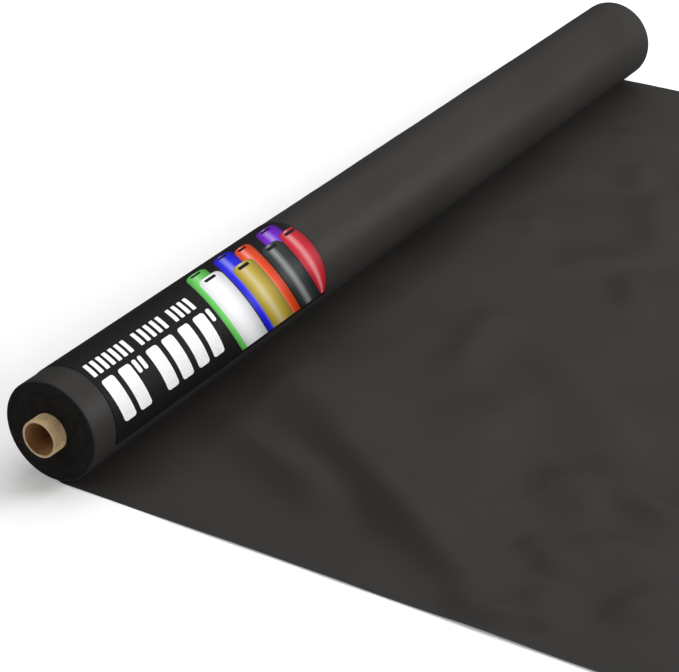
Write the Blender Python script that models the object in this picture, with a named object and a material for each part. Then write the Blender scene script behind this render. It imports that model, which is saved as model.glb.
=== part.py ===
"""A roll of plastic table-cover film on a cardboard core, with its outer end drawn off and laid flat.

The roll's axis runs along Y, the film is laid out towards +X and z = 0 is the table. The origin lies on the table
straight under the axis, halfway along the roll. Metres throughout.

Film is far thinner than a solid can usefully be, so each layer that lies by itself is drawn LAYER thick, and
pieces that touch on the real roll keep GAP between them here. The film is one web in three states: wound on the
core, paid out under the roll, and laid out. Each turn of the roll feeds out one circumference of film: the laid
film slides away by that much and uncovers the paid-out strip.
"""

import math

import bmesh
import bpy

# Core: a paper tube of three plies, wound and glued on each other.
CORE_BORE_RADIUS = 0.0140
INNER_PLY = 0.0005
MIDDLE_PLY = 0.0004
OUTER_PLY = 0.0005
CORE_STUB = 0.0140  # how far the core stands out of the wound film at each end

# Film.
FILM_WIDTH = 1.016
ROLL_RADIUS = 0.0437
ROLL_CHAMFER = 0.0006
LAID_LENGTH = 0.610  # from the line straight under the axis to the free end
CONTACT_HALF = 0.006  # half of the patch of film that the roll's weight presses on the table
STEP_RUN = 0.020  # where the laid film comes down from the paid-out strip to the table

# Tape that holds the film's inner end to the core.
TAPE_WIDTH = 0.048
TAPE_LENGTH = 0.040
TAPE_STATIONS = {"start_tape_near": -0.38, "start_tape_middle": 0.0, "start_tape_far": 0.38}

# Printed label on the outside of the roll.
LABEL_LENGTH = 0.309
LABEL_FROM_NEAR_END = 0.028
LABEL_LOW_DEG = -18.75  # from +X, upwards
LABEL_SWEEP_DEG = 168.75

# Travel and fits.
TURNS = 1.25  # of the roll, which the paid-out strip is long enough for
GAP = 0.0003
LAYER = 0.0005
STICKER = 0.0003
LAP = 0.015  # film that still overlaps the paid-out strip at the end of the travel
SIDES = 96

KRAFT = (0.45, 0.31, 0.17)
KRAFT_PALE = (0.52, 0.38, 0.22)
KRAFT_DARK = (0.20, 0.11, 0.05)
BLACK_FILM = (0.040, 0.038, 0.036)
BLACK_PRINT = (0.014, 0.012, 0.013)
CLEAR_TAPE = (0.55, 0.50, 0.38)

FULL_TURN = 2 * math.pi


def clear_scene():
    for old in list(bpy.data.objects):
        bpy.data.objects.remove(old, do_unlink=True)


def material(name, colour, roughness):
    made = bpy.data.materials.new(name)
    made.use_nodes = True
    shader = made.node_tree.nodes["Principled BSDF"]
    shader.inputs["Base Color"].default_value = (*colour, 1.0)
    shader.inputs["Roughness"].default_value = roughness
    shader.inputs["Metallic"].default_value = 0.0
    return made


def add_object(name, bm, finish, parent):
    """Makes one object of the mesh, shaded smooth between its sharp edges."""
    mesh = bpy.data.meshes.new(name)
    bmesh.ops.recalc_face_normals(bm, faces=bm.faces)
    bm.to_mesh(mesh)
    bm.free()
    mesh.shade_smooth()
    mesh.set_sharp_from_angle(angle=math.radians(30))
    made = bpy.data.objects.new(name, mesh)
    if finish:
        mesh.materials.append(finish)
    made.parent = parent
    bpy.context.scene.collection.objects.link(made)
    return made


def add_empty(name, place):
    made = bpy.data.objects.new(name, None)
    made.location = place
    bpy.context.scene.collection.objects.link(made)
    return made


def as_cutter(made):
    made.hide_render = True
    made.display_type = "WIRE"
    return made


def outline(bm, points):
    """Closes the points into one wire loop and gives its edges."""
    corners = [bm.verts.new(point) for point in points]
    return [bm.edges.new((corners[i - 1], corner)) for i, corner in enumerate(corners)]


def turned(profile, start=0.0, sweep=FULL_TURN):
    """Turns a closed profile of (radius, y) points about the Y axis, up from +X, and caps it if it isn't a ring."""
    bm = bmesh.new()
    flat = [(r * math.cos(start), y, r * math.sin(start)) for r, y in profile]
    edges = outline(bm, flat)
    ring = math.isclose(sweep, FULL_TURN)
    bmesh.ops.spin(
        bm,
        geom=[*bm.verts, *edges],
        cent=(0, 0, 0),
        axis=(0, -1, 0),
        angle=sweep,
        steps=max(3, round(SIDES * sweep / FULL_TURN)),
        use_merge=ring,
    )
    if not ring:
        open_edges = [edge for edge in bm.edges if edge.is_boundary]
        bmesh.ops.holes_fill(bm, edges=open_edges, sides=0)
    return bm


def extruded(section, width):
    """Runs a closed section of (x, z) points along Y, centred on y = 0."""
    bm = bmesh.new()
    outline(bm, [(x, -width / 2, z) for x, z in section])
    face = bmesh.ops.contextual_create(bm, geom=bm.edges[:])["faces"][0]
    run = bmesh.ops.extrude_face_region(bm, geom=[face])["geom"]
    moved = [item for item in run if isinstance(item, bmesh.types.BMVert)]
    bmesh.ops.translate(bm, verts=moved, vec=(0, width, 0))
    return bm


def plain_tube(inner, outer, length):
    half = length / 2
    return turned([(inner, -half), (outer, -half), (outer, half), (inner, half)])


# Radii, from the bore outwards.
MIDDLE_PLY_RADIUS = CORE_BORE_RADIUS + INNER_PLY + GAP
OUTER_PLY_RADIUS = MIDDLE_PLY_RADIUS + MIDDLE_PLY + GAP
CORE_RADIUS = OUTER_PLY_RADIUS + OUTER_PLY
FILM_BORE_RADIUS = CORE_RADIUS + GAP
TAPE_RADIUS = CORE_RADIUS + GAP
TAPE_POCKET_RADIUS = TAPE_RADIUS + STICKER + GAP
LABEL_RADIUS = ROLL_RADIUS + GAP
LABEL_OUTER_RADIUS = LABEL_RADIUS + STICKER

CORE_LENGTH = FILM_WIDTH + 2 * CORE_STUB

# Heights over the table. The label passes through the nip with GAP to spare.
AXIS_HEIGHT = LAYER + GAP + LABEL_OUTER_RADIUS
LAID_LOW = LAYER + GAP
LAID_TOP = LAID_LOW + LAYER

# Each turn feeds out one circumference.
TRAVEL = TURNS * FULL_TURN * ROLL_RADIUS
LAID_START = math.sqrt(LABEL_OUTER_RADIUS**2 - (AXIS_HEIGHT - LAID_TOP - GAP) ** 2) + GAP
STRIP_END = LAID_START + TRAVEL + LAP


def make_core(axis, kraft, kraft_pale, kraft_dark):
    inner = plain_tube(CORE_BORE_RADIUS, CORE_BORE_RADIUS + INNER_PLY, CORE_LENGTH)
    add_object("core_inner_ply", inner, kraft_dark, axis)
    middle = plain_tube(MIDDLE_PLY_RADIUS, MIDDLE_PLY_RADIUS + MIDDLE_PLY, CORE_LENGTH)
    add_object("core_middle_ply", middle, kraft_pale, axis)
    outer = plain_tube(OUTER_PLY_RADIUS, CORE_RADIUS, CORE_LENGTH)
    add_object("core_outer_ply", outer, kraft, axis)


def tape_plate(radius, thickness, station, margin):
    """A strip bent round the core, grown by margin at its ends and sides."""
    sweep = (TAPE_LENGTH + 2 * margin) / TAPE_RADIUS
    low = station - TAPE_WIDTH / 2 - margin
    high = station + TAPE_WIDTH / 2 + margin
    edge = radius + thickness
    profile = [(radius, low), (edge, low), (edge, high), (radius, high)]
    return turned(profile, math.pi / 2 - sweep / 2, sweep)


def make_tapes(axis, clear_tape):
    for name, station in TAPE_STATIONS.items():
        plate = tape_plate(TAPE_RADIUS, STICKER, station, 0.0)
        add_object(name, plate, clear_tape, axis)


def make_wound_film(axis, black_film):
    """The windings as one ring, with a pocket in its bore for each tape."""
    half = FILM_WIDTH / 2
    shoulder = ROLL_RADIUS - ROLL_CHAMFER
    profile = [
        (FILM_BORE_RADIUS, -half),
        (shoulder, -half),
        (ROLL_RADIUS, -half + ROLL_CHAMFER),
        (ROLL_RADIUS, half - ROLL_CHAMFER),
        (shoulder, half),
        (FILM_BORE_RADIUS, half),
    ]
    film = add_object("wound_film", turned(profile), black_film, axis)
    for name, station in TAPE_STATIONS.items():
        depth = TAPE_POCKET_RADIUS - CORE_BORE_RADIUS
        plate = tape_plate(CORE_BORE_RADIUS, depth, station, GAP)
        cutter = as_cutter(add_object(f"pocket_{name}", plate, None, axis))
        cut = film.modifiers.new(f"pocket_{name}", "BOOLEAN")
        cut.object = cutter
        cut.operation = "DIFFERENCE"
        cut.solver = "EXACT"


def make_label(axis, black_print):
    low = -FILM_WIDTH / 2 + LABEL_FROM_NEAR_END
    high = low + LABEL_LENGTH
    profile = [(LABEL_RADIUS, low), (LABEL_OUTER_RADIUS, low), (LABEL_OUTER_RADIUS, high), (LABEL_RADIUS, high)]
    plate = turned(profile, math.radians(LABEL_LOW_DEG), math.radians(LABEL_SWEEP_DEG))
    add_object("label", plate, black_print, axis)


def make_paid_out_film(black_film):
    """The strip that the roll stands on, which comes into sight as the laid film slides away."""
    section = [(-CONTACT_HALF, 0), (STRIP_END, 0), (STRIP_END, LAYER), (-CONTACT_HALF, LAYER)]
    add_object("paid_out_film", extruded(section, FILM_WIDTH), black_film, None)


def make_laid_film(black_film):
    """It lies over the paid-out strip, steps down past the strip's end and runs on flat on the table."""
    step_start = STRIP_END + GAP
    step_end = step_start + STEP_RUN
    section = [
        (LAID_START, LAID_LOW),
        (step_start, LAID_LOW),
        (step_end, 0),
        (LAID_LENGTH, 0),
        (LAID_LENGTH, LAYER),
        (step_end, LAYER),
        (step_start, LAID_TOP),
        (LAID_START, LAID_TOP),
    ]
    add_object("laid_film", extruded(section, FILM_WIDTH), black_film, None)


def main():
    clear_scene()
    black_film = material("black_film", BLACK_FILM, 0.42)
    kraft = material("kraft", KRAFT, 0.85)
    kraft_pale = material("kraft_pale", KRAFT_PALE, 0.85)
    kraft_dark = material("kraft_dark", KRAFT_DARK, 0.85)
    black_print = material("black_print", BLACK_PRINT, 0.35)
    clear_tape = material("clear_tape", CLEAR_TAPE, 0.25)
    axis = add_empty("roll_axis", (0, 0, AXIS_HEIGHT))
    make_core(axis, kraft, kraft_pale, kraft_dark)
    make_tapes(axis, clear_tape)
    make_wound_film(axis, black_film)
    make_label(axis, black_print)
    make_paid_out_film(black_film)
    make_laid_film(black_film)


main()
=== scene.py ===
"""Looks for a roll of black plastic table-cover film: the roll, its core, its label and the laid film.

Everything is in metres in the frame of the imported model: the roll's axis runs along Y, the film is laid out
towards +X and z = 0 is the table. Sizes come from the model's own solids.
"""

import math

import bpy
import numpy as np
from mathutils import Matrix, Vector


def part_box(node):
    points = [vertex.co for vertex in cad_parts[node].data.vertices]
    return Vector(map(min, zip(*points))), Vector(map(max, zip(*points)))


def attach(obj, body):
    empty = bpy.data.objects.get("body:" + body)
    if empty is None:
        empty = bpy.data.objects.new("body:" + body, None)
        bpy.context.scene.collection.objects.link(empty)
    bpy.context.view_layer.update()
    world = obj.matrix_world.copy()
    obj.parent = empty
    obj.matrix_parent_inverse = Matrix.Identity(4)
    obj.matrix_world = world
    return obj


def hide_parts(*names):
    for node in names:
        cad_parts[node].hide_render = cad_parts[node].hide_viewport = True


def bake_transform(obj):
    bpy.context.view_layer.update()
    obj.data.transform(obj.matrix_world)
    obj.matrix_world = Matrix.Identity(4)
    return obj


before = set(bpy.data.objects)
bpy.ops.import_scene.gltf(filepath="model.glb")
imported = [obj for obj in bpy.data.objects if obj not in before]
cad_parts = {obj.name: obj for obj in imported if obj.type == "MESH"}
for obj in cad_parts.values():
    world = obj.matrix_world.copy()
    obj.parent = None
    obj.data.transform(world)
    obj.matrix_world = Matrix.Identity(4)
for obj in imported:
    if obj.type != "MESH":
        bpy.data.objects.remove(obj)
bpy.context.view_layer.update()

# ---------------------------------------------------------------- sizes read from the model


def box_ends(node):
    low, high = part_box(node)
    return np.array(low), np.array(high)


ROLL_LOW, ROLL_HIGH = box_ends("wound_film")
AXIS_Z = float(ROLL_LOW[2] + ROLL_HIGH[2]) / 2
ROLL_RADIUS = float(ROLL_HIGH[2] - ROLL_LOW[2]) / 2
HALF_WIDTH = float(ROLL_HIGH[1])
SHEET_START = float(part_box("paid_out_film")[0].x)
SHEET_END = float(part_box("laid_film")[1].x)


def radii(node):
    """Smallest and largest distance of a turned node's corners from the roll's axis."""
    co = np.array([v.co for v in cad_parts[node].data.vertices])
    far = np.hypot(co[:, 0], co[:, 2] - AXIS_Z)
    return float(far.min()), float(far.max())


def sweep(node):
    """Lowest and highest angle of a node about the axis, in degrees up from +X."""
    co = np.array([v.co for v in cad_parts[node].data.vertices])
    at = np.degrees(np.arctan2(co[:, 2] - AXIS_Z, co[:, 0]))
    return float(at.min()), float(at.max())


BORE_RADIUS, LINER_RADIUS = radii("core_inner_ply")
WALL_RADIUS = radii("core_middle_ply")[1]
CORE_RADIUS = radii("core_outer_ply")[1]
TAPE_RADIUS = radii("start_tape_near")[1]
CORE_HALF = float(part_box("core_outer_ply")[1].y)
LABEL_INNER, LABEL_OUTER = radii("label")
LABEL_LOW_DEG, LABEL_HIGH_DEG = sweep("label")
LABEL_NEAR, LABEL_FAR = (float(corner.y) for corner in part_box("label"))

# ---------------------------------------------------------------- mesh helpers


def add_piece(name, points, faces, finish, uv=None, sharp_deg=35):
    mesh = bpy.data.meshes.new(name)
    mesh.from_pydata(np.asarray(points).reshape(-1, 3).tolist(), [], faces)
    if uv is not None:
        layer = mesh.uv_layers.new(name="UVMap")
        corners = np.zeros(len(mesh.loops), np.int32)
        mesh.loops.foreach_get("vertex_index", corners)
        layer.data.foreach_set("uv", np.asarray(uv, np.float32)[corners].ravel())
    mesh.shade_smooth()
    mesh.set_sharp_from_angle(angle=math.radians(sharp_deg))
    mesh.materials.append(finish)
    made = bpy.data.objects.new(name, mesh)
    bpy.context.scene.collection.objects.link(made)
    return made


def grid_faces(rows, columns, first=0, flip=False):
    faces = []
    for i in range(rows - 1):
        for j in range(columns - 1):
            a = first + i * columns + j
            quad = (a, a + 1, a + columns + 1, a + columns)
            faces.append(quad[::-1] if flip else quad)
    return faces


def rim_loop(rows, columns):
    """The outer points of a grid, in order round it."""
    bottom = list(range(columns))
    right = [i * columns + columns - 1 for i in range(1, rows)]
    top = [(rows - 1) * columns + j for j in range(columns - 2, -1, -1)]
    left = [i * columns for i in range(rows - 2, 0, -1)]
    return bottom + right + top + left


def plate(name, top, bottom, finish):
    """A closed thin piece between two grids of points, with UVs across (0..1) and along (0..1)."""
    rows, columns = top.shape[:2]
    count = rows * columns
    faces = grid_faces(rows, columns) + grid_faces(rows, columns, count, flip=True)
    loop = rim_loop(rows, columns)
    for i, here in enumerate(loop):
        before = loop[i - 1]
        faces.append((before, before + count, here + count, here))
    across, along = np.meshgrid(np.linspace(0, 1, columns), np.linspace(0, 1, rows))
    uv = np.stack([across.ravel(), along.ravel()], axis=1)
    points = np.concatenate([top.reshape(-1, 3), bottom.reshape(-1, 3)])
    return add_piece(name, points, faces, finish, np.concatenate([uv, uv]))


def on_roll(radius, y, degrees):
    """Points at a radius and an angle about the roll's axis."""
    angle = np.radians(degrees)
    return np.stack([radius * np.cos(angle), y + 0 * angle, AXIS_Z + radius * np.sin(angle)], axis=-1)


def ring(name, profile, finish, segments=192, bend=None):
    """Turns a closed profile of (radius, y) points about the roll's axis.

    bend(radius, y, degrees) gives each point its new radius.
    """
    profile = np.array(profile)
    degrees = np.arange(segments) * 360 / segments
    y, at = np.meshgrid(profile[:, 1], degrees)
    radius = np.broadcast_to(profile[:, 0], y.shape)
    if bend is not None:
        radius = bend(radius, y, at)
    points = on_roll(radius, y, at)
    count = len(profile)
    faces = []
    for i in range(segments):
        row, following = i * count, (i + 1) % segments * count
        for j in range(count):
            k = (j + 1) % count
            faces.append((row + j, row + k, following + k, following + j))
    return add_piece(name, points, faces, finish)


def smoothstep(low, high, value):
    t = np.clip((value - low) / (high - low), 0, 1)
    return t * t * (3 - 2 * t)


# ---------------------------------------------------------------- material helpers


class Finish:
    """A Principled material with short ways to add noise, ramps and bump."""

    def __init__(self, name, colour, roughness, specular=0.5):
        self.material = bpy.data.materials.new(name)
        self.material.use_nodes = True
        self.nodes = self.material.node_tree.nodes
        self.links = self.material.node_tree.links
        self.shader = self.nodes["Principled BSDF"]
        self.shader.inputs["Base Color"].default_value = (*colour, 1)
        self.shader.inputs["Roughness"].default_value = roughness
        self.shader.inputs["Specular IOR Level"].default_value = specular
        self.normal = None

    def place(self, scale, source="Object"):
        coordinates = self.nodes.new("ShaderNodeTexCoord")
        mapping = self.nodes.new("ShaderNodeMapping")
        mapping.inputs["Scale"].default_value = scale
        self.links.new(coordinates.outputs[source], mapping.inputs["Vector"])
        return mapping.outputs["Vector"]

    def noise(self, where, scale, detail=3.0, roughness=0.5, distortion=0.0):
        made = self.nodes.new("ShaderNodeTexNoise")
        made.inputs["Scale"].default_value = scale
        made.inputs["Detail"].default_value = detail
        made.inputs["Roughness"].default_value = roughness
        made.inputs["Distortion"].default_value = distortion
        self.links.new(where, made.inputs["Vector"])
        return made.outputs["Fac"]

    def spread(self, value, low, high, start=0.3, end=0.7):
        """Maps noise between start and end onto low to high."""
        made = self.nodes.new("ShaderNodeMapRange")
        made.inputs["From Min"].default_value = start
        made.inputs["From Max"].default_value = end
        made.inputs["To Min"].default_value = low
        made.inputs["To Max"].default_value = high
        self.links.new(value, made.inputs["Value"])
        return made.outputs["Result"]

    def ramp(self, value, stops):
        made = self.nodes.new("ShaderNodeValToRGB")
        band = made.color_ramp
        while len(band.elements) < len(stops):
            band.elements.new(0.5)
        for element, (position, colour) in zip(band.elements, stops):
            element.position = position
            element.color = (*colour, 1)
        self.links.new(value, made.inputs["Fac"])
        return made.outputs["Color"]

    def add(self, first, second, share=1.0):
        scaled = self.nodes.new("ShaderNodeMath")
        scaled.operation = "MULTIPLY_ADD"
        self.links.new(second, scaled.inputs[0])
        scaled.inputs[1].default_value = share
        self.links.new(first, scaled.inputs[2])
        return scaled.outputs["Value"]

    def bump(self, height, distance, strength=1.0):
        made = self.nodes.new("ShaderNodeBump")
        made.inputs["Distance"].default_value = distance
        made.inputs["Strength"].default_value = strength
        self.links.new(height, made.inputs["Height"])
        if self.normal is not None:
            self.links.new(self.normal, made.inputs["Normal"])
        self.normal = made.outputs["Normal"]
        self.links.new(self.normal, self.shader.inputs["Normal"])

    def colour(self, source):
        self.links.new(source, self.shader.inputs["Base Color"])

    def roughness(self, source):
        self.links.new(source, self.shader.inputs["Roughness"])


def shade(colour, factor):
    return tuple(channel * factor for channel in colour)


# ---------------------------------------------------------------- materials

FILM_COLOUR = (0.0284, 0.0264, 0.0246)
# a third of the film's colour: partly the stacked edges' own dark tone, partly painted shade on the roll's
# cut ends
FILM_EDGE_AND_SHADE_COLOUR = (0.0092, 0.0084, 0.0077)
LABEL_BLACK = (0.0085, 0.0075, 0.0080)
PRINT_WHITE = (0.86, 0.86, 0.86)
KRAFT = (0.72, 0.515, 0.280)
KRAFT_RIM = (0.50, 0.385, 0.25)
KRAFT_LINER = (0.36, 0.19, 0.075)


def make_film(name, roughness_low, roughness_high):
    """Satin polyethylene: drawn-out streaks along the web, cloudy gloss and a very fine grain."""
    film = Finish(name, FILM_COLOUR, 0.50, specular=0.09)
    clouds = film.noise(film.place((1, 1, 1)), 9.0, detail=4.0)
    streaks = film.noise(film.place((3, 160, 3)), 1.0, detail=3.0)
    grain = film.noise(film.place((1, 1, 1)), 1600.0, detail=2.0)
    film.colour(film.ramp(clouds, [(0.30, shade(FILM_COLOUR, 0.90)), (0.70, shade(FILM_COLOUR, 1.10))]))
    gloss = film.add(clouds, streaks, 0.35)
    film.roughness(film.spread(gloss, roughness_low, roughness_high, 0.45, 0.90))
    film.bump(streaks, 0.00006, 0.35)
    film.bump(grain, 0.00002, 0.30)
    return film.material


def make_film_ends():
    """The stacked edges of hundreds of windings: nearly black, with fine rings; the dark base is partly their
    own tone and partly painted shade on the roll's cut ends.
    """
    ends = Finish("film_edges", FILM_EDGE_AND_SHADE_COLOUR, 0.70, specular=0.12)
    fleck = ends.noise(ends.place((1, 1, 1)), 220.0, detail=4.0)
    dark, light = shade(FILM_EDGE_AND_SHADE_COLOUR, 0.75), shade(FILM_EDGE_AND_SHADE_COLOUR, 1.5)
    ends.colour(ends.ramp(fleck, [(0.35, dark), (0.70, light)]))
    ends.roughness(ends.spread(fleck, 0.60, 0.80))
    ends.bump(fleck, 0.00008, 0.5)
    return ends.material


def make_kraft(name, colour, dark, light):
    """Paperboard: soft blotches, short fibres and a matt tooth."""
    paper = Finish(name, colour, 0.86, specular=0.25)
    blotch = paper.noise(paper.place((1, 1, 1)), 120.0, detail=4.0)
    fibre = paper.noise(paper.place((900, 260, 900)), 1.0, detail=4.0, roughness=0.65)
    fleck = paper.noise(paper.place((1, 1, 1)), 1500.0, detail=2.0)
    mixed = paper.add(blotch, fibre, 0.8)
    stops = [(0.62, shade(colour, dark)), (0.90, colour), (1.0, shade(colour, light))]
    paper.colour(paper.ramp(mixed, stops))
    paper.roughness(paper.spread(fleck, 0.80, 0.93))
    paper.bump(fibre, 0.00010, 0.5)
    paper.bump(fleck, 0.00004, 0.4)
    return paper.material


def make_print(name, colour, roughness):
    """Ink on a coated label: even, with a faint mottle."""
    ink = Finish(name, colour, roughness, specular=0.08)
    mottle = ink.noise(ink.place((1, 1, 1)), 350.0, detail=3.0)
    ink.colour(ink.ramp(mottle, [(0.30, shade(colour, 0.95)), (0.70, shade(colour, 1.04))]))
    ink.roughness(ink.spread(mottle, roughness - 0.05, roughness + 0.06))
    ink.bump(mottle, 0.00001, 0.4)
    return ink.material


def make_patch(name, colour, dark):
    """Ink printed light to dark across the patch, like a fold of satin."""
    ink = Finish(name, colour, 0.45, specular=0.12)
    across = ink.nodes.new("ShaderNodeSeparateXYZ")
    ink.links.new(ink.place((1, 1, 1), "UV"), across.inputs["Vector"])
    pale = tuple(channel + 0.22 * (1 - channel) for channel in colour)
    stops = [
        (0.0, shade(colour, dark)),
        (0.22, colour),
        (0.42, pale),
        (0.62, colour),
        (1.0, shade(colour, dark * 0.8)),
    ]
    ink.colour(ink.ramp(across.outputs["X"], stops))
    mottle = ink.noise(ink.place((1, 1, 1)), 350.0)
    ink.roughness(ink.spread(mottle, 0.40, 0.52))
    return ink.material


def make_tape():
    tape = Finish("clear_tape_film", (0.55, 0.50, 0.38), 0.22)
    wrinkle = tape.noise(tape.place((120, 40, 120)), 1.0)
    tape.roughness(tape.spread(wrinkle, 0.16, 0.34))
    tape.bump(wrinkle, 0.0001, 0.4)
    return tape.material


film_on_roll = make_film("film_satin_roll", 0.42, 0.54)
film_on_table = make_film("film_satin_laid", 0.42, 0.58)
film_ends = make_film_ends()
kraft = make_kraft("kraft_wrap", KRAFT, 0.74, 1.12)
kraft_rim = make_kraft("kraft_rim", KRAFT_RIM, 0.82, 1.08)
kraft_liner = make_kraft("kraft_liner", KRAFT_LINER, 0.78, 1.10)
label_black = make_print("label_black", LABEL_BLACK, 0.58)
print_white = make_print("print_white", PRINT_WHITE, 0.50)
clear_tape = make_tape()

# ---------------------------------------------------------------- wound film

END_RINGS = 72
END_SHAKE = 0.00016  # how far one winding stands in at the ends against its neighbours
END_DRIFT = 0.00003  # how far each winding tends to wander from the one below
END_LIMITS = (-0.0004, 0.0006)
END_BAND = 0.0008  # faces this near to a cut end are the edges of windings
BORE_FIT = 0.00005
SHOULDER = 0.0011
SHOULDER_DEG = (18, 36, 54, 72)
BARREL_ROWS = 260
RELIEF = 0.0006  # the bore is wider over the tapes than at the ends
RELIEF_RUN = 0.004  # length over which the bore widens
END_GRIP = 0.060  # length of bore at each end that is tight on the core


def end_face(rng, radius_in, radius_out):
    """(radius, depth) down one end of the roll: depth is how far each winding stands in from the cut."""
    radius = np.linspace(radius_in, radius_out, END_RINGS)
    drift = np.cumsum(rng.normal(0, END_DRIFT, END_RINGS))
    drift -= np.linspace(drift[0], drift[-1], END_RINGS)
    shake = rng.uniform(0, END_SHAKE, END_RINGS)
    return radius, np.clip(drift + shake, *END_LIMITS)


def roll_profile():
    rng = np.random.default_rng(11)
    inner = CORE_RADIUS + BORE_FIT
    edge = ROLL_RADIUS - SHOULDER
    near_radius, near_depth = end_face(rng, inner, edge)
    far_radius, far_depth = end_face(rng, inner, edge)
    near = list(zip(near_radius, -HALF_WIDTH + near_depth))
    far = list(zip(far_radius, HALF_WIDTH - far_depth))[::-1]
    near_corner = [
        (edge + SHOULDER * math.sin(t), -HALF_WIDTH + SHOULDER * (1 - math.cos(t)))
        for t in np.radians(SHOULDER_DEG)
    ]
    far_corner = [(radius, -y) for radius, y in reversed(near_corner)]
    barrel_end = HALF_WIDTH - SHOULDER
    barrel = [(ROLL_RADIUS, y) for y in np.linspace(-barrel_end, barrel_end, BARREL_ROWS)]
    tight, loose = HALF_WIDTH - END_GRIP, TAPE_RADIUS + RELIEF
    wide = tight - RELIEF_RUN
    bore = [(inner, tight), (loose, wide), (loose, -wide), (inner, -tight)]
    return near + near_corner + barrel + far_corner + far + bore


def wound_shape(radius, y, degrees):
    """Slack and tight bands along the roll, slightly out of round."""
    outer = smoothstep(CORE_RADIUS + 0.010, ROLL_RADIUS - 0.002, radius)
    angle = np.radians(degrees)
    bands = (
        0.00009 * np.sin(y * 31 + 0.8 * np.sin(y * 9))
        + 0.00005 * np.sin(y * 83 + 1.9)
        + 0.00003 * np.sin(y * 211 + 0.4)
    )
    sway = 0.00010 * np.sin(2 * angle + y * 2.4) + 0.00005 * np.sin(3 * angle - y * 5.1 + 1.0)
    return radius + outer * (bands + sway)


def make_roll():
    roll = ring("film_roll", roll_profile(), film_on_roll, segments=256, bend=wound_shape)
    roll.data.materials.append(film_ends)
    for face in roll.data.polygons:
        centre = face.center
        on_end = abs(centre.y) > HALF_WIDTH - END_BAND
        if on_end and math.hypot(centre.x, centre.z - AXIS_Z) < ROLL_RADIUS - SHOULDER:
            face.material_index = 1
    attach(roll, "roll")
    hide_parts("wound_film")


make_roll()

# ---------------------------------------------------------------- core

RIM_ROUND = 0.00018
SEAM_PITCH = 0.052
SEAM_WIDTH = 0.0007
SEAM_DEPTH = 0.00016
STUB_ROWS = 48
STUB_LAP = 0.002  # the close rows go on this far inside the film
HIDDEN_ROWS = 24
HIDDEN_START = 0.02  # from the close rows to the first wide one
PLY_FIT = 0.00004

# From the outside in: name, node that it replaces, slot, finish, and how far its ends stand in from the
# core's.
PLIES = [
    ("core_wrap", "core_outer_ply", "kraft", kraft, 0.0),
    ("core_wall", "core_middle_ply", "kraft_pale", kraft_rim, 0.00022),
    ("core_liner", "core_inner_ply", "kraft_dark", kraft_liner, 0.00008),
]


def tube_profile(inner, outer, half, stub):
    """A tube's closed profile, with softened rims and close rows where it sticks out of the film."""
    r = RIM_ROUND
    sides = np.concatenate([
        np.linspace(-half + r, -stub, STUB_ROWS),
        np.linspace(-stub + HIDDEN_START, stub - HIDDEN_START, HIDDEN_ROWS),
        np.linspace(stub, half - r, STUB_ROWS),
    ])
    outside = [(outer, y) for y in sides]
    inside = [(inner, y) for y in sides[::-1]]
    soft = r * 0.3
    far = [(outer - soft, half - soft), (outer - r, half), (inner + r, half), (inner + soft, half - soft)]
    near = [(radius, -y) for radius, y in reversed(far)]
    return outside + far + inside + near


def seam(turn, outer_only):
    """Bends a ply so that the butt joint of its spiral strip shows as a shallow groove."""

    def bend(radius, y, degrees):
        along = (y / SEAM_PITCH - degrees / 360 + turn) % 1.0
        off = np.minimum(along, 1 - along) * SEAM_PITCH
        depth = SEAM_DEPTH * np.exp(-((off / SEAM_WIDTH) ** 2))
        middle = (radius.min() + radius.max()) / 2
        cut = np.where(radius > middle, -depth, depth)
        wanted = radius > middle if outer_only else radius < middle
        return radius + np.where(wanted, cut, 0)

    return bend


def make_core():
    stub = HALF_WIDTH - STUB_LAP
    walls = [
        (WALL_RADIUS + PLY_FIT, CORE_RADIUS),
        (LINER_RADIUS + PLY_FIT, WALL_RADIUS),
        (BORE_RADIUS, LINER_RADIUS),
    ]
    bends = [seam(0.10, True), None, seam(0.6, False)]
    for (name, node, slot, finish, inset), (inner, outer), bend in zip(PLIES, walls, bends):
        profile = tube_profile(inner, outer, CORE_HALF - inset, stub)
        ply = ring(name, profile, finish, segments=128, bend=bend)
        ply.data.materials.append(kraft_rim)
        for face in ply.data.polygons:
            if abs(face.normal.y) > 0.5:
                face.material_index = 1
        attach(ply, "roll")
        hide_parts(node)


make_core()

for node in ("start_tape_near", "start_tape_middle", "start_tape_far"):
    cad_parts[node].data.materials.clear()
    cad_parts[node].data.materials.append(clear_tape)

# ---------------------------------------------------------------- label

SURFACE = LABEL_INNER + 0.00005  # the label's black face, just proud of the film
INK = 0.00003  # how far one printed layer stands off the one below
ROW_STEP_DEG = 2.0
BOW_MIDDLE_DEG = 49.0
BOW_SPAN_DEG = 64.0
BAR_BOW = 0.011
PATCH_BOW = 0.0213


def curved_plate(name, rows, inner, outer, finish, columns=2):
    """A thin plate bent round the roll, from rows of (degrees, low y, high y)."""
    degrees = np.array([row[0] for row in rows])[:, None] + np.zeros(columns)
    share = np.linspace(0, 1, columns)[None, :]
    low = np.array([row[1] for row in rows])[:, None]
    high = np.array([row[2] for row in rows])[:, None]
    y = low + (high - low) * share
    return plate(name, on_roll(outer, y, degrees), on_roll(inner, y, degrees), finish)


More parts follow.
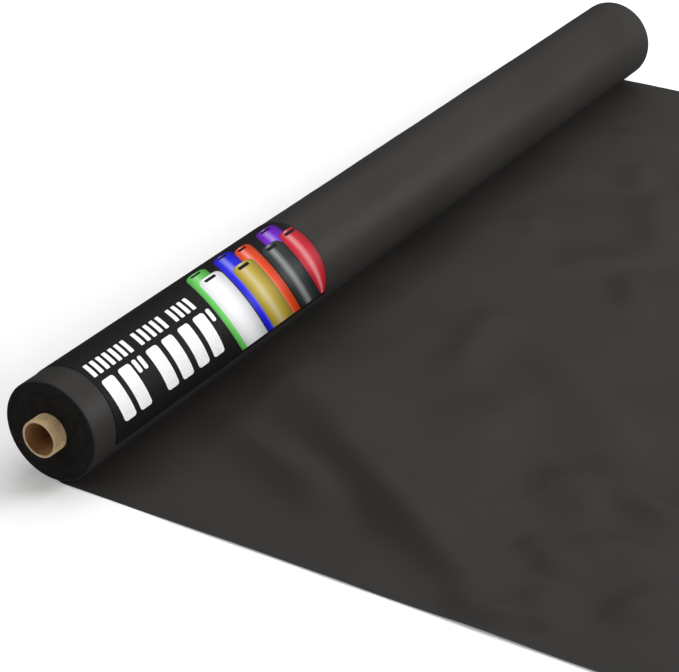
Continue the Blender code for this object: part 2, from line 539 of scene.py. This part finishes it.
def rounded_rows(low_y, width, low_deg, high_deg, corner, bow=0.0, foot=None, far_limit=None):
    """Rows of a bar with rounded corners.

    bow is how far it has curved to +Y at BOW_SPAN_DEG from BOW_MIDDLE_DEG, foot is the radius of its low
    corners and far_limit the y that it stops at.
    """
    foot = corner if foot is None else foot
    metre_deg = math.degrees(1 / LABEL_OUTER)
    steps = max(4, round((high_deg - low_deg) / ROW_STEP_DEG))
    degrees = set(np.linspace(low_deg, high_deg, steps + 1))
    for t in np.linspace(0, 1, 7):
        curve = 1 - math.cos(t * math.pi / 2)
        degrees.add(high_deg - curve * corner * metre_deg)
        degrees.add(low_deg + curve * foot * metre_deg)
    rows = []
    for at in sorted(degrees):
        inset = 0.0
        for distance, radius in (((high_deg - at) / metre_deg, corner), ((at - low_deg) / metre_deg, foot)):
            if distance < radius:
                inset = max(inset, radius - math.sqrt(max(0.0, radius**2 - (radius - distance) ** 2)))
        start = low_y + bow * ((at - BOW_MIDDLE_DEG) / BOW_SPAN_DEG) ** 2
        low, high = start + inset, start + width - inset
        if far_limit is not None:
            high = min(high, far_limit)
            low = min(low, high - 0.0002)
        rows.append((at, low, high))
    return rows


def label_child(piece):
    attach(piece, "roll")


def make_label_stock():
    rows = rounded_rows(LABEL_NEAR, LABEL_FAR - LABEL_NEAR, LABEL_LOW_DEG, LABEL_HIGH_DEG, 0.0025)
    stock = curved_plate("label_stock", rows, LABEL_INNER - 0.0001, SURFACE, label_black, columns=40)
    label_child(stock)
    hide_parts("label")


# Two rows of plain upright bars. A group of the top row is its distance from the label's near edge, its
# number of bars and their pitch. A bar of the low row is its distance from that edge, its width and if it is
# short.
TOP_ROW_DEG = (61.5, 80.5)
TOP_ROW_GROUPS = [(0.0045, 7, 0.0079), (0.0665, 5, 0.0083), (0.1140, 4, 0.0081)]
TOP_BAR = 0.0047
TOP_BAR_CORNER = 0.0009
LOW_ROW_DEG = (3.0, 54.5)
SHORT_BAR_LOW_DEG = 38.5
LOW_ROW_BARS = [
    (0.0060, 0.0150, False),
    (0.0270, 0.0150, False),
    (0.0450, 0.0048, True),
    (0.0525, 0.0048, True),
    (0.0640, 0.0150, False),
    (0.0850, 0.0150, False),
    (0.1075, 0.0150, False),
    (0.1290, 0.0150, False),
    (0.1475, 0.0050, True),
]


def make_bar(number, start, width, low_deg, high_deg, corner):
    rows = rounded_rows(LABEL_NEAR + start, width, low_deg, high_deg, corner, BAR_BOW)
    label_child(curved_plate(f"label_bar_{number:02d}", rows, SURFACE - INK, SURFACE + INK, print_white))


def make_bars():
    count = 0
    for start, bars, pitch in TOP_ROW_GROUPS:
        for i in range(bars):
            count += 1
            make_bar(count, start + i * pitch, TOP_BAR, *TOP_ROW_DEG, TOP_BAR_CORNER)
    for start, width, short in LOW_ROW_BARS:
        count += 1
        low_deg = SHORT_BAR_LOW_DEG if short else LOW_ROW_DEG[0]
        make_bar(count, start, width, low_deg, LOW_ROW_DEG[1], min(0.0030, width * 0.4))


PATCH_FOOT_DEG = -14.0
PURPLE_FOOT_DEG = 70.0  # behind the tops of the grey and red patches
PATCH_CORNER = 0.0075
PATCH_FOOT_CORNER = 0.0004
LABEL_MARGIN = 0.0012  # black left at the label's far edge
SLOT_CORNER = 0.0016
SLOT_DEG = (3.2, 7.6)  # each patch has a dark slot this far down from its top
SLOT_SHARE = 0.50  # of the patch's width
# name, low y from the label's near edge, width, top angle, colour, dark share, printed layer
PATCHES = [
    ("purple", 0.2605, 0.030, 104.0, (0.16, 0.006, 0.52), 0.5, 1),
    ("green", 0.1566, 0.028, 108.0, (0.13, 0.58, 0.10), 0.6, 1),
    ("blue", 0.1965, 0.028, 108.5, (0.012, 0.012, 0.72), 0.5, 1),
    ("orange", 0.2240, 0.0235, 99.5, (0.70, 0.060, 0.008), 0.7, 2),
    ("white", 0.1640, 0.0315, 88.5, (0.80, 0.80, 0.82), 0.8, 2),
    ("gold", 0.2052, 0.0310, 77.0, (0.44, 0.33, 0.040), 0.60, 3),
    ("grey", 0.2490, 0.0300, 76.5, (0.026, 0.032, 0.034), 0.35, 3),
    ("red", 0.2800, 0.0310, 80.0, (0.50, 0.010, 0.025), 0.6, 2),
]


def make_patches():
    limit = LABEL_FAR - LABEL_MARGIN
    for name, start, width, top, colour, dark, layer in PATCHES:
        low = LABEL_NEAR + start
        outer = SURFACE + layer * INK
        foot_deg = PURPLE_FOOT_DEG if name == "purple" else PATCH_FOOT_DEG
        rows = rounded_rows(low, width, foot_deg, top, PATCH_CORNER, PATCH_BOW, PATCH_FOOT_CORNER, limit)
        ink = make_patch(f"ink_{name}", colour, dark)
        label_child(curved_plate(f"label_patch_{name}", rows, SURFACE - INK, outer, ink, 9))
        slot_low = low + width * (1 - SLOT_SHARE) / 2
        slot_degs = (top - SLOT_DEG[1], top - SLOT_DEG[0])
        rows = rounded_rows(slot_low, width * SLOT_SHARE, *slot_degs, SLOT_CORNER, PATCH_BOW)
        label_child(curved_plate(f"label_slot_{name}", rows, SURFACE - INK, outer + INK, label_black, 5))


make_label_stock()
make_bars()
make_patches()

# ---------------------------------------------------------------- laid film

SHEET_THICK = 0.0003
SHEET_FLOAT = 0.0002  # gap under the sheet where it lies flattest
SHEET_STEP = 0.0030
# The film is held flat before the first x and free to wrinkle after the second.
NIP_TENSION = (0.015, 0.075)

CREASE_STEPS = 24
CREASE_FADE = 0.40  # share of a crease's length over which each end dies away

# Creases: start, bend and end on the table; height; half width to the right and to the left, looking from
# start to end; and the share of those widths lost by the end.
CREASES = [
    ((0.020, -0.205), (0.190, -0.385), (0.420, -0.492), 0.0160, 0.049, 0.072, 0.66),
    ((0.040, -0.362), (0.160, -0.385), (0.244, -0.458), 0.0072, 0.026, 0.021, 0.20),
    ((0.176, -0.036), (0.156, -0.120), (0.206, -0.218), 0.0051, 0.022, 0.019, 0.0),
    ((0.200, -0.126), (0.346, -0.156), (0.390, -0.292), 0.0087, 0.044, 0.020, 0.0),
    ((0.266, -0.168), (0.212, -0.296), (0.366, -0.406), 0.0084, 0.049, 0.022, 0.0),
    ((0.302, -0.296), (0.384, -0.280), (0.378, -0.376), 0.0072, 0.038, 0.019, 0.0),
    ((0.350, -0.234), (0.388, -0.312), (0.498, -0.306), 0.0090, 0.026, 0.024, 0.0),
    ((0.344, -0.388), (0.382, -0.386), (0.414, -0.436), 0.0052, 0.018, 0.018, 0.0),
    ((0.372, -0.372), (0.425, -0.374), (0.480, -0.346), 0.0067, 0.040, 0.019, 0.0),
    ((0.328, -0.472), (0.377, -0.506), (0.414, -0.464), 0.0049, 0.017, 0.016, 0.0),
    ((0.384, -0.430), (0.412, -0.460), (0.428, -0.496), 0.0051, 0.017, 0.016, 0.0),
    ((0.444, -0.456), (0.480, -0.426), (0.478, -0.374), 0.0061, 0.022, 0.019, 0.0),
    ((0.070, 0.358), (0.114, 0.376), (0.232, 0.400), 0.0044, 0.019, 0.015, 0.0),
    ((0.128, 0.304), (0.160, 0.266), (0.160, 0.216), 0.0056, 0.022, 0.016, 0.0),
    ((0.174, 0.270), (0.204, 0.166), (0.264, 0.090), 0.0064, 0.026, 0.019, 0.0),
    ((0.154, 0.036), (0.206, 0.062), (0.260, 0.122), 0.0048, 0.015, 0.028, 0.0),
    ((0.222, 0.080), (0.250, 0.034), (0.290, -0.024), 0.0056, 0.021, 0.016, 0.0),
    ((0.086, 0.148), (0.110, 0.106), (0.134, 0.076), 0.0031, 0.019, 0.013, 0.0),
    ((0.430, 0.060), (0.480, 0.120), (0.560, 0.130), 0.0069, 0.026, 0.022, 0.3),
    ((0.350, 0.334), (0.430, 0.290), (0.550, 0.354), 0.0077, 0.029, 0.022, 0.2),
    ((0.460, -0.114), (0.520, -0.060), (0.600, -0.084), 0.0064, 0.026, 0.021, 0.0),
    ((0.290, 0.446), (0.360, 0.400), (0.408, 0.460), 0.0054, 0.023, 0.016, 0.0),
    ((0.490, -0.324), (0.540, -0.384), (0.610, -0.346), 0.0061, 0.025, 0.019, 0.0),
]


def crease_path(start, bend, end):
    t = np.linspace(0, 1, CREASE_STEPS + 1)[:, None]
    return (1 - t) ** 2 * np.array(start) + 2 * t * (1 - t) * np.array(bend) + t * t * np.array(end)


def along_path(x, y, path):
    """For each point, how far along the path it lies (0..1) and how far to the left of it, in metres."""
    nearest = np.full(x.shape, np.inf)
    where = np.zeros(x.shape)
    left = np.zeros(x.shape)
    for i, (a, b) in enumerate(zip(path[:-1], path[1:])):
        run = b - a
        t = np.clip(((x - a[0]) * run[0] + (y - a[1]) * run[1]) / (run @ run), 0, 1)
        dx, dy = x - a[0] - t * run[0], y - a[1] - t * run[1]
        distance = np.hypot(dx, dy)
        closer = distance < nearest
        nearest = np.where(closer, distance, nearest)
        where = np.where(closer, (i + t) / (len(path) - 1), where)
        left = np.where(closer, np.sign(run[0] * dy - run[1] * dx) * distance, left)
    return where, left


def crease_height(x, y, start, bend, end, height, right_width, left_width, narrowing):
    """One soft ridge along a curve, which dies away at both ends."""
    where, left = along_path(x, y, crease_path(start, bend, end))
    width = np.where(left > 0, left_width, right_width) * (1 - narrowing * where)
    fade = smoothstep(0, CREASE_FADE, where) * smoothstep(0, CREASE_FADE, 1 - where)
    return height * fade * np.exp(-((left / width) ** 2))


def slow_waves(x, y):
    """The film's general unevenness, from long swells down to short puckers."""
    swell = 0.0005 * np.sin(19 * x + 7 * y + 1.3 * np.sin(9 * y)) + 0.0004 * np.sin(13 * y - 11 * x + 0.7)
    ripple = 0.00022 * np.sin(61 * x - 37 * y + 1.8 * np.sin(17 * x + 11 * y))
    ripple += 0.00016 * np.sin(47 * x + 73 * y + 1.5 * np.sin(23 * y - 13 * x))
    pucker = 0.00006 * np.sin(149 * x + 83 * y + 2.0 * np.sin(41 * x)) * np.sin(127 * y - 59 * x)
    return swell + ripple + pucker


def sheet_height(x, y):
    free = smoothstep(*NIP_TENSION, x)
    total = np.zeros(x.shape)
    for crease in CREASES:
        total = total + crease_height(x, y, *crease)
    waves = slow_waves(x, y)
    lift = total + waves - waves.min() * 0.5
    return SHEET_THICK + SHEET_FLOAT + free * np.maximum(lift, 0)


def make_sheet():
    rows = round((SHEET_END - SHEET_START) / SHEET_STEP)
    columns = round(2 * HALF_WIDTH / SHEET_STEP)
    stations = np.linspace(SHEET_START, SHEET_END, rows)
    x, y = np.meshgrid(stations, np.linspace(-HALF_WIDTH, HALF_WIDTH, columns), indexing="ij")
    side_cut = 0.0005 * np.sin(9 * x + 0.6) + 0.0002 * np.sin(37 * x)
    side_cut += 0.0040 * (1 - smoothstep(SHEET_START, 0.010, x))
    y = y - side_cut * (y / HALF_WIDTH) ** 5
    end_cut = 0.0016 * np.sin(7 * y) + 0.0005 * np.sin(31 * y + 1.0)
    x = x - (0.0022 + end_cut) * smoothstep(SHEET_END - 0.15, SHEET_END, x)
    z = sheet_height(x, y)
    top = np.stack([x, y, z], axis=-1)
    bottom = top - np.array([0, 0, SHEET_THICK])
    sheet = plate("film_sheet", top[:, ::-1], bottom[:, ::-1], film_on_table)
    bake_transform(sheet)
    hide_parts("laid_film", "paid_out_film")
    return sheet


film_sheet = make_sheet()

# ---------------------------------------------------------------- studio

TABLE_HALF = 9.0
# Between these distances from the middle of the roll, the floor turns into an evenly lit backdrop.
BACKDROP_FADE = (1.3, 3.6)
FLOOR_GLOW = (0.16, 0.85)  # near the roll, where it lifts the shadows, and far off, where it is the backdrop


def make_table():
    half = TABLE_HALF
    corners = [(-half, -half, 0), (half, -half, 0), (half, half, 0), (-half, half, 0)]
    white = Finish("white_surface", (0.90, 0.90, 0.90), 0.65, specular=0.2)
    cloud = white.noise(white.place((1, 1, 1)), 3.0)
    white.roughness(white.spread(cloud, 0.60, 0.70))
    white.shader.inputs["Emission Color"].default_value = (1, 1, 1, 1)
    away = white.nodes.new("ShaderNodeVectorMath")
    away.operation = "LENGTH"
    white.links.new(white.place((1, 1, 1)), away.inputs[0])
    glow = white.spread(away.outputs["Value"], *FLOOR_GLOW, *BACKDROP_FADE)
    white.links.new(glow, white.shader.inputs["Emission Strength"])
    table = add_piece("table_top", corners, [(0, 1, 2, 3)], white.material)
    table.visible_glossy = False  # it lights the film, but the film doesn't mirror it
    return table


table_top = make_table()


def aim(thing, target):
    thing.rotation_euler = (Vector(target) - thing.location).to_track_quat("-Z", "Y").to_euler()


def area_light(name, place, target, size, power):
    data = bpy.data.lights.new(name, "AREA")
    data.shape = "SQUARE"
    data.size = size
    data.energy = power
    light = bpy.data.objects.new(name, data)
    light.location = place
    light.visible_camera = False
    aim(light, target)
    bpy.context.scene.collection.objects.link(light)


area_light("overhead", (0.05, 0.85, 2.20), (0.0, 0.0, 0), 3.0, 49)
area_light("side", (1.9, 1.20, 1.05), (0.1, -0.1, 0), 1.2, 58)
area_light("front", (-1.1, -2.2, 1.5), (0.0, -0.4, 0), 1.8, 22)


def make_world(light, backdrop):
    """Dim light from all round, behind a backdrop that only the camera sees."""
    world = bpy.data.worlds.new("studio")
    world.use_nodes = True
    nodes, links = world.node_tree.nodes, world.node_tree.links
    around = nodes["Background"]
    around.inputs["Color"].default_value = (1, 1, 1, 1)
    around.inputs["Strength"].default_value = light
    behind = nodes.new("ShaderNodeBackground")
    behind.inputs["Color"].default_value = (1, 1, 1, 1)
    behind.inputs["Strength"].default_value = backdrop
    rays = nodes.new("ShaderNodeLightPath")
    mixed = nodes.new("ShaderNodeMixShader")
    links.new(rays.outputs["Is Camera Ray"], mixed.inputs["Fac"])
    links.new(around.outputs["Background"], mixed.inputs[1])
    links.new(behind.outputs["Background"], mixed.inputs[2])
    links.new(mixed.outputs["Shader"], nodes["World Output"].inputs["Surface"])
    bpy.context.scene.world = world


make_world(light=0.13, backdrop=0.95)
bpy.context.scene.view_settings.view_transform = "Standard"

# ---------------------------------------------------------------- camera

CAMERA_AZIMUTH = math.radians(31.7)
CAMERA_ELEVATION = math.radians(28.2)
CAMERA_DISTANCE = 1.953
CAMERA_TARGET = Vector((0.0662, -0.1853, 0.0013))

camera_data = bpy.data.cameras.new("camera")
camera_data.lens = 116.9
camera_data.sensor_width = 36.0
camera = bpy.data.objects.new("camera", camera_data)
level = math.cos(CAMERA_ELEVATION)
camera.location = CAMERA_TARGET + CAMERA_DISTANCE * Vector(
    (math.sin(CAMERA_AZIMUTH) * level, -math.cos(CAMERA_AZIMUTH) * level, math.sin(CAMERA_ELEVATION))
)
aim(camera, CAMERA_TARGET)
bpy.context.scene.collection.objects.link(camera)
bpy.context.scene.camera = camera
